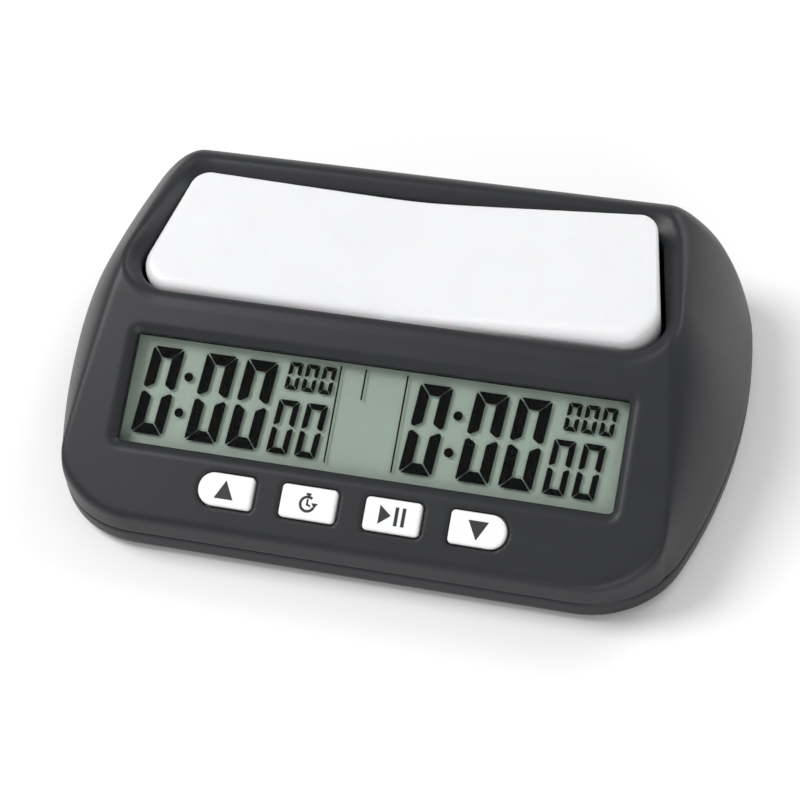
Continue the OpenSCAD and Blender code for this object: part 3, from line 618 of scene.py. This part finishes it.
def base_field(x, y, z):
    """Base shell: tray and lip, battery bay, screw bosses, seats for the small parts, and the holes."""
    outline = polygon_distance(x, y, body_outline())[:, :, None]
    x3, y3 = x[:, :, None], y[:, :, None]
    body = smooth_max(smooth_max(outline, z - SEAM_Z, 0.5), FOOT_H - z, 1.6)
    body = cut(body, smooth_max(outline + WALL, FLOOR_Z - z, 0.8), 0.2)
    inner = outline + WALL
    lip = np.maximum(inner + LIP_GAP, -(inner + LIP_GAP + LIP_T))
    lip = np.maximum(lip, slab(z, FLOOR_Z - 1, SEAM_Z + LIP_H))
    front = box_field(x3, y3, z, (-60, FRONT_Y - 5, SEAM_Z), (60, FRONT_Y + 11, 20))
    lip = cut(cut(lip, front), upright(x3, y3, z, BOSSES, BOSS_R + 0.3, SEAM_Z, 20))
    body = smooth_min(body, lip, 0.2)

    bay_front, bay_rear = [s + FRONT_Y for s in BAY_S]
    bay_low = (-BAY_HALF - BAY_WALL, bay_front - BAY_WALL, FLOOR_Z - 1)
    bay_high = (BAY_HALF + BAY_WALL, bay_rear + BAY_WALL, BAY_TOP_Z + BAY_WALL)
    body = smooth_min(body, box_field(x3, y3, z, bay_low, bay_high, 0.5), 0.5)
    body = smooth_min(body, upright(x3, y3, z, BOSSES, BOSS_R, FLOOR_Z - 1, SEAM_Z), 0.4)
    pads = [(-PAD_X, PAD_Y), (PAD_X, PAD_Y)]
    pad_low = box_mm("bumper_pads")[0][2]
    body = smooth_min(body, upright(x3, y3, z, pads, PAD_SEAT_R, FLOOR_Z - 1, pad_low), 0.4)
    body = smooth_min(body, upright(x3, y3, z, [BUZZER], SEAT_R, FLOOR_Z - 1, SEAT_TOP_Z), 0.3)
    board_low, board_high = box_mm("switch_board")
    board_y = (board_low[1] + board_high[1]) / 2
    for edge, turn in ((board_low[0], -1), (board_high[0], 1)):
        guide_x = edge + 0.4 * turn
        guide_low = (guide_x - GUIDE_X, board_y - GUIDE_Y, FLOOR_Z - 1)
        guide_high = (guide_x + GUIDE_X, board_y + GUIDE_Y, GUIDE_TOP_Z)
        body = smooth_min(body, box_field(x3, y3, z, guide_low, guide_high, 0.3), 0.2)
    body = cut(body, box_field(x3, y3, z, board_low - 0.1, board_high + 0.1), 0.05)

    bay_room = box_field(x3, y3, z, (-BAY_HALF, bay_front, -1), (BAY_HALF, bay_rear, BAY_TOP_Z), 0.3)
    body = cut(body, bay_room, 0.1)
    doorway_front = bay_front - BAY_WALL
    doorway = box_field(x3, y3, z, (-DOORWAY_HALF, doorway_front, -1),
                        (DOORWAY_HALF, BEHIND_Y, FOOT_H + DOOR_T))
    tongue_half = DOORWAY_HALF + TONGUE_W
    tongues = box_field(x3, y3, z, (-tongue_half, doorway_front, FOOT_H + DOOR_T - TONGUE_T),
                        (tongue_half, BEHIND_Y, FOOT_H + DOOR_T))
    body = cut(cut(body, doorway, 0.2), tongues, 0.05)
    for side in (-1, 1):
        slot = box_field(x3, y3, z, (CONTACT_X * side - 1, CONTACT_S[0] + FRONT_Y, CONTACT_Z[0]),
                         (CONTACT_X * side + 1, CONTACT_S[1] + FRONT_Y, CONTACT_Z[1]))
        body = cut(body, slot, 0.1)
    body = cut(body, upright(x3, y3, z, BOSSES, SCREW_HOLE_R, 0, 20), 0.1)
    body = cut(body, upright(x3, y3, z, BOSSES, HEAD_R, -2, FOOT_H + HEAD_DEPTH), 0.3)
    body = cut(body, upright(x3, y3, z, FEET, FOOT_R, -2, FOOT_H + FOOT_POCKET), 0.2)
    body = cut(body, upright(x3, y3, z, [BUZZER], BORE_R, FLOOR_Z, 9), 0.1)
    body = cut(body, upright(x3, y3, z, [BUZZER], LEDGE_R, LEDGE_Z, 9), 0.1)
    turns = [math.tau * k / SOUND_HOLES for k in range(SOUND_HOLES)]
    ring = [(BUZZER[0] + SOUND_RING_R * math.cos(a), BUZZER[1] + SOUND_RING_R * math.sin(a))
            for a in turns]
    return cut(body, upright(x3, y3, z, [BUZZER] + ring, SOUND_HOLE_R, -2, 8), 0.25)


def door_field(x, y, z):
    """Battery door: a plate that ends at the clock's back, tongues at its sides, and finger grips."""
    x3, y3 = x[:, :, None], y[:, :, None]
    low, high = door_low, door_high
    plate_low, plate_high = (low[0] + TONGUE_W, low[1], low[2]), (high[0] - TONGUE_W, high[1], high[2])
    plate = box_field(x3, y3, z, plate_low, plate_high, 0.5)
    back = polygon_distance(x, y, body_outline())[:, :, None]
    plate = smooth_max(plate, back, 0.8)
    tongue = box_field(x3, y3, z, (low[0], low[1], high[2] - 0.6), (high[0], low[1] + 20, high[2]), 0.15)
    body = smooth_min(plate, tongue, 0.1)
    for k in range(GRIPS):
        grip_y = GRIP_FIRST_S + FRONT_Y + GRIP_PITCH * k
        grip = np.maximum(np.hypot(y3 - grip_y, z - low[2]) - GRIP_R, np.abs(x3) - GRIP_HALF)
        body = cut(body, grip, 0.25)
    return body


def rocker_field(x, y, z):
    """Rocker in its level position: a hollow cap with raised wings, the hub, two posts and the finger."""
    outline = polygon_distance(x, y, plan_outline(ROCKER_PLAN))[:, :, None]
    x3, y3 = x[:, :, None], y[:, :, None]
    wings = WING_RISE * (np.sqrt(x3 ** 2 + BEND_HALF ** 2) - BEND_HALF)
    level = (z - ROCKER_TOP_Z) * math.cos(ROCKER_PITCH) - (y3 - ROCKER_MID_Y) * math.sin(ROCKER_PITCH)
    top = level - wings
    rear = np.clip((y3 - FRONT_Y - ROCKER_PLAN[0]) / (ROCKER_PLAN[1] - ROCKER_PLAN[0]), 0, 1)
    body = smooth_max(smooth_max(outline, top, 2.6 - 1.4 * rear), SKIRT_Z - z, 0.5)
    hollow = smooth_max(outline + ROCKER_SIDE, top + ROCKER_SKIN, 1.2)
    body = cut(body, hollow, 0.3)
    hub_from, hub_to = [s + FRONT_Y for s in HUB_S]
    hub = np.maximum(np.hypot(x3, z - AXLE_Z) - HUB_R, slab(y3, hub_from, hub_to))
    rib = box_field(x3, y3, z, (-HUB_RIB_HALF, HUB_RIB_S[0] + FRONT_Y, AXLE_Z),
                    (HUB_RIB_HALF, HUB_RIB_S[1] + FRONT_Y, HUB_RIB_TOP), 0.2)
    posts = upright(x3, y3, z, [(-PAD_X, PAD_Y), (PAD_X, PAD_Y)], PAD_POST_R, SKIRT_Z, 32.5, 0.3)
    finger = box_field(x3, y3, z, (FINGER_X - FINGER_HALF, FINGER_Y, FINGER_END_Z),
                       (FINGER_X + FINGER_HALF, FINGER_Y + FINGER_T, 30.2), 0.2)
    inner = np.minimum(np.minimum(hub, rib), np.minimum(posts, finger))
    body = smooth_min(body, np.maximum(inner, top + 0.6), 0.4)
    axle = np.hypot(x3, z - AXLE_Z) - AXLE_R - 0.05
    body = cut(body, axle, 0.1)
    slot = box_field(x3, y3, z, (FINGER_X - SLOT_HALF, FINGER_Y - 1, SLOT_Z[0]),
                     (FINGER_X + SLOT_HALF, FINGER_Y + 3, SLOT_Z[1]))
    return cut(body, slot, 0.05)


def key_field(k):
    """Field of key k: cap, flange that holds it under the panel, and stem."""
    def field(u, v, w):
        u3, v3 = u[:, :, None], v[:, :, None]
        crown = KEY_PROUD - 0.07 * np.clip(np.abs(v3) / (KEY_H / 2), 0, 1) ** 2.5
        cap = smooth_max(key_outline(k, u, v)[:, :, None], w - crown, 0.65)
        cap = smooth_max(cap, -2.75 - w, 0.2)
        half_u, half_v = KEY_W / 2 + FLANGE_OUT_U, KEY_H / 2 + FLANGE_OUT_V
        flange = box_field(u3, v3, w, (-half_u, -half_v, -FLANGE_UNDER_D),
                           (half_u, half_v, -FLANGE_TOP_D), 0.2)
        stem = np.maximum(np.hypot(u3, v3) - KEY_STEM_R, slab(w, -KEY_STEM_D, -FLANGE_TOP_D))
        return smooth_min(smooth_min(cap, flange, 0.2), stem, 0.4)
    return field


def make_shells():
    """Housing, base and door, each in place of its CAD node."""
    plastic = MATERIALS["housing"]
    top = grown("housing_top", housing_low - 0.5, housing_high + 0.5, STEP_SHELL, housing_field,
                plastic, "root", rounds=5)
    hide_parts("upper_housing")
    bottom = grown("housing_base", base_low - 0.5, base_high + 0.5, STEP_SHELL, base_field,
                   plastic, "root")
    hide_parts("base_shell")
    door = grown("door_plate", door_low - 0.3, door_high + 0.3, STEP_SHELL * 0.7, door_field,
                 plastic, "door")
    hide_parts("battery_door")


def make_rocker():
    """The rocker, tipped to its rest position."""
    turn = (Matrix.Translation((0, 0, AXLE_Z * MM)) @ Matrix.Rotation(ROCKER_REST, 4, "Y")
            @ Matrix.Translation((0, 0, -AXLE_Z * MM)))
    low, high = (-51, 39 + FRONT_Y, 12), (51, 69 + FRONT_Y, 34)
    piece = grown("rocker_shell", low, high, STEP_ROCKER, rocker_field,
                  MATERIALS["rocker_white"], "rocker", turn)
    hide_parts("rocker")


def key_matrix(k):
    return PANEL_MATRIX @ Matrix.Translation(Vector((key_x(k), KEY_V + KEY_H / 2, 0)) * MM)


def flat_piece(name, shapes, thickness, matrix, material, body):
    """Thin printed shapes: each is a closed outline in millimetres, raised by the thickness."""
    bm = bmesh.new()
    for shape in shapes:
        rings = [[bm.verts.new((x * MM, y * MM, z * MM)) for x, y in shape] for z in (0, thickness)]
        n = len(shape)
        bm.faces.new(rings[1])
        bm.faces.new(rings[0][::-1])
        for k in range(n):
            bm.faces.new((rings[0][k], rings[0][(k + 1) % n], rings[1][(k + 1) % n], rings[1][k]))
    bmesh.ops.recalc_face_normals(bm, faces=bm.faces)
    mesh = bpy.data.meshes.new(name)
    bm.to_mesh(mesh)
    bm.free()
    mesh.transform(matrix)
    obj = add_object(name, mesh, material)
    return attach(obj, body)


def softened(points, r, n=3):
    """A polygon with its corners rounded by r."""
    out = []
    count = len(points)
    for k in range(count):
        p = Vector(points[k])
        a, b = Vector(points[k - 1]) - p, Vector(points[(k + 1) % count]) - p
        reach = min(r, a.length / 2.2, b.length / 2.2)
        p0, p1 = p + a.normalized() * reach, p + b.normalized() * reach
        for j in range(n + 1):
            t = j / n
            q = p0 * (1 - t) ** 2 + p * 2 * t * (1 - t) + p1 * t ** 2
            out.append((q.x, q.y))
    return out


def disc(cx, cy, r, n=28):
    return [(cx + r * math.cos(math.tau * k / n), cy + r * math.sin(math.tau * k / n)) for k in range(n)]


def ring_band(cx, cy, r, t, a0, a1, n=30):
    """Part of a ring of stroke t between two angles in degrees."""
    a0, a1 = math.radians(a0), math.radians(a1)
    outer = arc(cx, cy, r + t / 2, a0, a1, n)
    inner = arc(cx, cy, r - t / 2, a1, a0, n)
    return outer + inner


def stroke(x0, y0, x1, y1, t):
    d = Vector((x1 - x0, y1 - y0)).normalized() * t / 2
    return [(x0 + d.y - d.x, y0 - d.x - d.y), (x1 + d.y + d.x, y1 - d.x + d.y),
            (x1 - d.y + d.x, y1 + d.x + d.y), (x0 - d.y - d.x, y0 + d.x - d.y)]


def key_icons():
    """Generic control symbols, about each key's middle."""
    up = [softened([(-1.8, -1.65), (1.8, -1.65), (0, 1.8)], 0.12)]
    down = [softened([(-1.85, 1.5), (0, -2.0), (1.85, 1.5)], 0.12)]
    play = [softened([(-2.35, -1.75), (-0.15, 0), (-2.35, 1.75)], 0.12),
            softened([(0.5, -1.7), (1.15, -1.7), (1.15, 1.7), (0.5, 1.7)], 0.06),
            softened([(1.8, -1.7), (2.45, -1.7), (2.45, 1.7), (1.8, 1.7)], 0.06)]
    timer = [ring_band(0, -0.2, 1.3, 0.5, 55, 340),
             softened([(-0.45, 1.4), (0.45, 1.4), (0.45, 1.8), (-0.45, 1.8)], 0.08),
             stroke(0, 1.2, 0, 1.5, 0.36),
             softened([(0.7, 0.1), (1.95, 0.1), (1.35, -0.85)], 0.08),
             stroke(-0.05, 0.55, -0.05, -0.25, 0.36),
             stroke(-0.05, -0.25, 0.45, -0.5, 0.36)]
    return [up, timer, play, down]


def make_keys():
    """The four keys with their printed symbols."""
    icons = key_icons()
    for k, key in enumerate(KEYS):
        low = (-KEY_W / 2 - 1, -KEY_H / 2 - 0.6, -5.1)
        high = (KEY_W / 2 + 1, KEY_H / 2 + 0.6, KEY_PROUD + 0.1)
        cap = grown(key + "_cap", low, high, STEP_KEY, key_field(k),
                    MATERIALS["key_white"], key, key_matrix(k))
        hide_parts(key)
        lift = Matrix.Translation((0, 0, (KEY_PROUD - 0.04) * MM))
        flat_piece(key + "_symbol", icons[k], 0.05, key_matrix(k) @ lift,
                   MATERIALS["print_black"], key)


def digit(cx, cy, w, h, t, slant):
    """The six lit bars of a zero, leaning to the right; t is the width of a bar."""
    a, b, q = w / 2, h / 2, t / BIG_BAR
    tip = 0.33 * q
    side = [(-a, b - 0.5 * q), (-a + 0.2 * q, b - 0.2 * q), (-a + t, b - t - 0.15 * q),
            (-a + t, tip + 0.87 * q), (-a + 0.3 * t, tip), (-a, tip + 0.35 * q)]
    top = [(-a + 0.35 * q, b), (a - 0.35 * q, b), (a - t - 0.15 * q, b - t), (-a + t + 0.15 * q, b - t)]
    bars = [top, [(x, -y) for x, y in reversed(top)]]
    for sx in (1, -1):
        for sy in (1, -1):
            bar = [(x * sx, y * sy) for x, y in side]
            bars.append(bar if sx * sy > 0 else bar[::-1])
    return [softened([(cx + x + slant * y, cy + y) for x, y in bar], 0.1 * t) for bar in bars]


def make_lcd():
    """Digits and dividing lines, on the inner face of the front glass."""
    shapes = []
    for origin, small_dx, small_v in LCD_GROUPS:
        for dx in (0, 10.45, 18.3):
            shapes += digit(origin + dx, BIG_V, 6.1, 16.7, BIG_BAR, LCD_SLANT)
        for v in (27.75, 20.9):
            shapes.append(disc(origin + 5.1 + LCD_SLANT * (v - BIG_V), v, 0.86))
        for dx in (24.95, 30.3):
            shapes += digit(origin + dx, 21.15, 4.0, 10.1, 1.1, LCD_SLANT)
        for dx in (24.9, 28.1, 31.3):
            shapes += digit(origin + small_dx + dx, small_v, 2.5, 5.2, 0.8, LCD_SLANT)
    for u, v0 in LCD_LINES:
        left, right = u - LCD_LINE_HALF, u + LCD_LINE_HALF
        shapes.append([(left, v0), (right, v0), (right, LCD_LINE_TOP), (left, LCD_LINE_TOP)])
    matrix = PANEL_MATRIX @ Matrix.Translation((0, 0, -LCD_DEPTH * MM))
    flat_piece("lcd_segments", shapes, 0.02, matrix, MATERIALS["lcd_black"], "root")


# ---- stage, light and camera ----


def make_stage():
    """Plain pale floor and an even white surround."""
    bm = bmesh.new()
    bmesh.ops.create_grid(bm, x_segments=2, y_segments=2, size=3.0)
    mesh = bpy.data.meshes.new("floor")
    bm.to_mesh(mesh)
    bm.free()
    pale = finish("floor", (0.95, 0.95, 0.95), 0.9, vary=0.004, cloud=3.0, bump=0.0)
    floor = add_object("floor", mesh, pale)
    world = bpy.data.worlds.new("studio")
    world.use_nodes = True
    world.node_tree.nodes["Background"].inputs["Color"].default_value = (1.0, 1.0, 1.0, 1)
    world.node_tree.nodes["Background"].inputs["Strength"].default_value = 0.46
    bpy.context.scene.world = world


def area_light(name, place, target, size, power):
    """Round soft light at place, aimed at target."""
    data = bpy.data.lights.new(name, "AREA")
    data.shape = "DISK"
    data.size = size
    data.energy = power
    lamp = bpy.data.objects.new(name, data)
    lamp.location = place
    lamp.rotation_euler = (Vector(target) - Vector(place)).to_track_quat("-Z", "Y").to_euler()
    bpy.context.scene.collection.objects.link(lamp)


def make_lights():
    """Soft key light from the left, a fill from the front and one from behind."""
    area_light("key", (-0.6, 0.0, 0.8), (0, 0, 0.01), 0.5, 6.2)
    area_light("fill", (0.35, -0.85, 0.35), (0, 0, 0.01), 0.6, 2.6)
    area_light("back", (0.45, 0.7, 0.6), (0, 0, 0.01), 0.6, 2.6)


def make_camera():
    """Camera at the photo's viewing angle."""
    azimuth, elevation, roll = math.radians(20.13), math.radians(51.48), math.radians(-7.83)
    distance = 0.3742
    target = Vector((0.00478, FRONT_Y * MM + 0.02704, 0.021))
    back = Vector((math.sin(azimuth) * math.cos(elevation), -math.cos(azimuth) * math.cos(elevation),
                   math.sin(elevation)))
    data = bpy.data.cameras.new("camera")
    data.lens = 93.06
    data.sensor_width = 36.0
    data.clip_start = 0.01
    camera = bpy.data.objects.new("camera", data)
    camera.location = target + back * distance
    camera.rotation_mode = "QUATERNION"
    upright_view = (-back).to_track_quat("-Z", "Y")
    camera.rotation_quaternion = upright_view @ Matrix.Rotation(roll, 4, "Z").to_quaternion()
    bpy.context.scene.collection.objects.link(camera)
    bpy.context.scene.camera = camera


dress_cad_nodes()
make_shells()
make_rocker()
make_keys()
make_lcd()
make_stage()
make_lights()
make_camera()

bpy.context.scene.view_settings.view_transform = "Standard"
bpy.context.scene.cycles.transparent_max_bounces = 16
